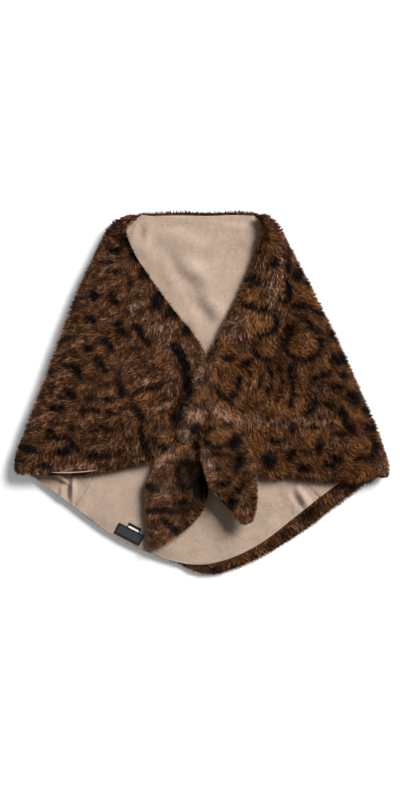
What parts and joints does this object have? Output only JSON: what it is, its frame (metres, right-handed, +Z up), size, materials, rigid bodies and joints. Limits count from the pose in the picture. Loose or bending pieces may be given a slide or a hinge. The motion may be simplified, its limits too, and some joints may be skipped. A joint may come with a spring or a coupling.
{
  "type": "faux fur hooded scarf",
  "caption": "Triangular faux fur hooded scarf with a fleece lining, lying flat with its sides folded over the front and its ends tied in a half knot.",
  "frame": {"origin": "middle of the underside, on the surface that the scarf lies on", "axes": "+X across the garment to the right as seen from above, +Y towards the neck edge, +Z up from the surface"},
  "size_m": [0.6544, 0.6372, 0.066],
  "materials": {
    "faux_fur": "long soft pile with a brown and black animal print",
    "fleece_lining": "short matte fleece",
    "woven_ribbon": "smooth woven ribbon"
  },
  "bodies": {
    "root": {"back_fur": "faux_fur", "back_lining": "fleece_lining", "left_side_fur": "faux_fur", "left_side_lining": "fleece_lining", "right_side_fur": "faux_fur", "right_side_lining": "fleece_lining", "knot_band": "faux_fur", "left_tie": "faux_fur", "right_tie": "faux_fur", "hem_label": "woven_ribbon", "size_tab": "woven_ribbon"}
  },
  "joints": []
}
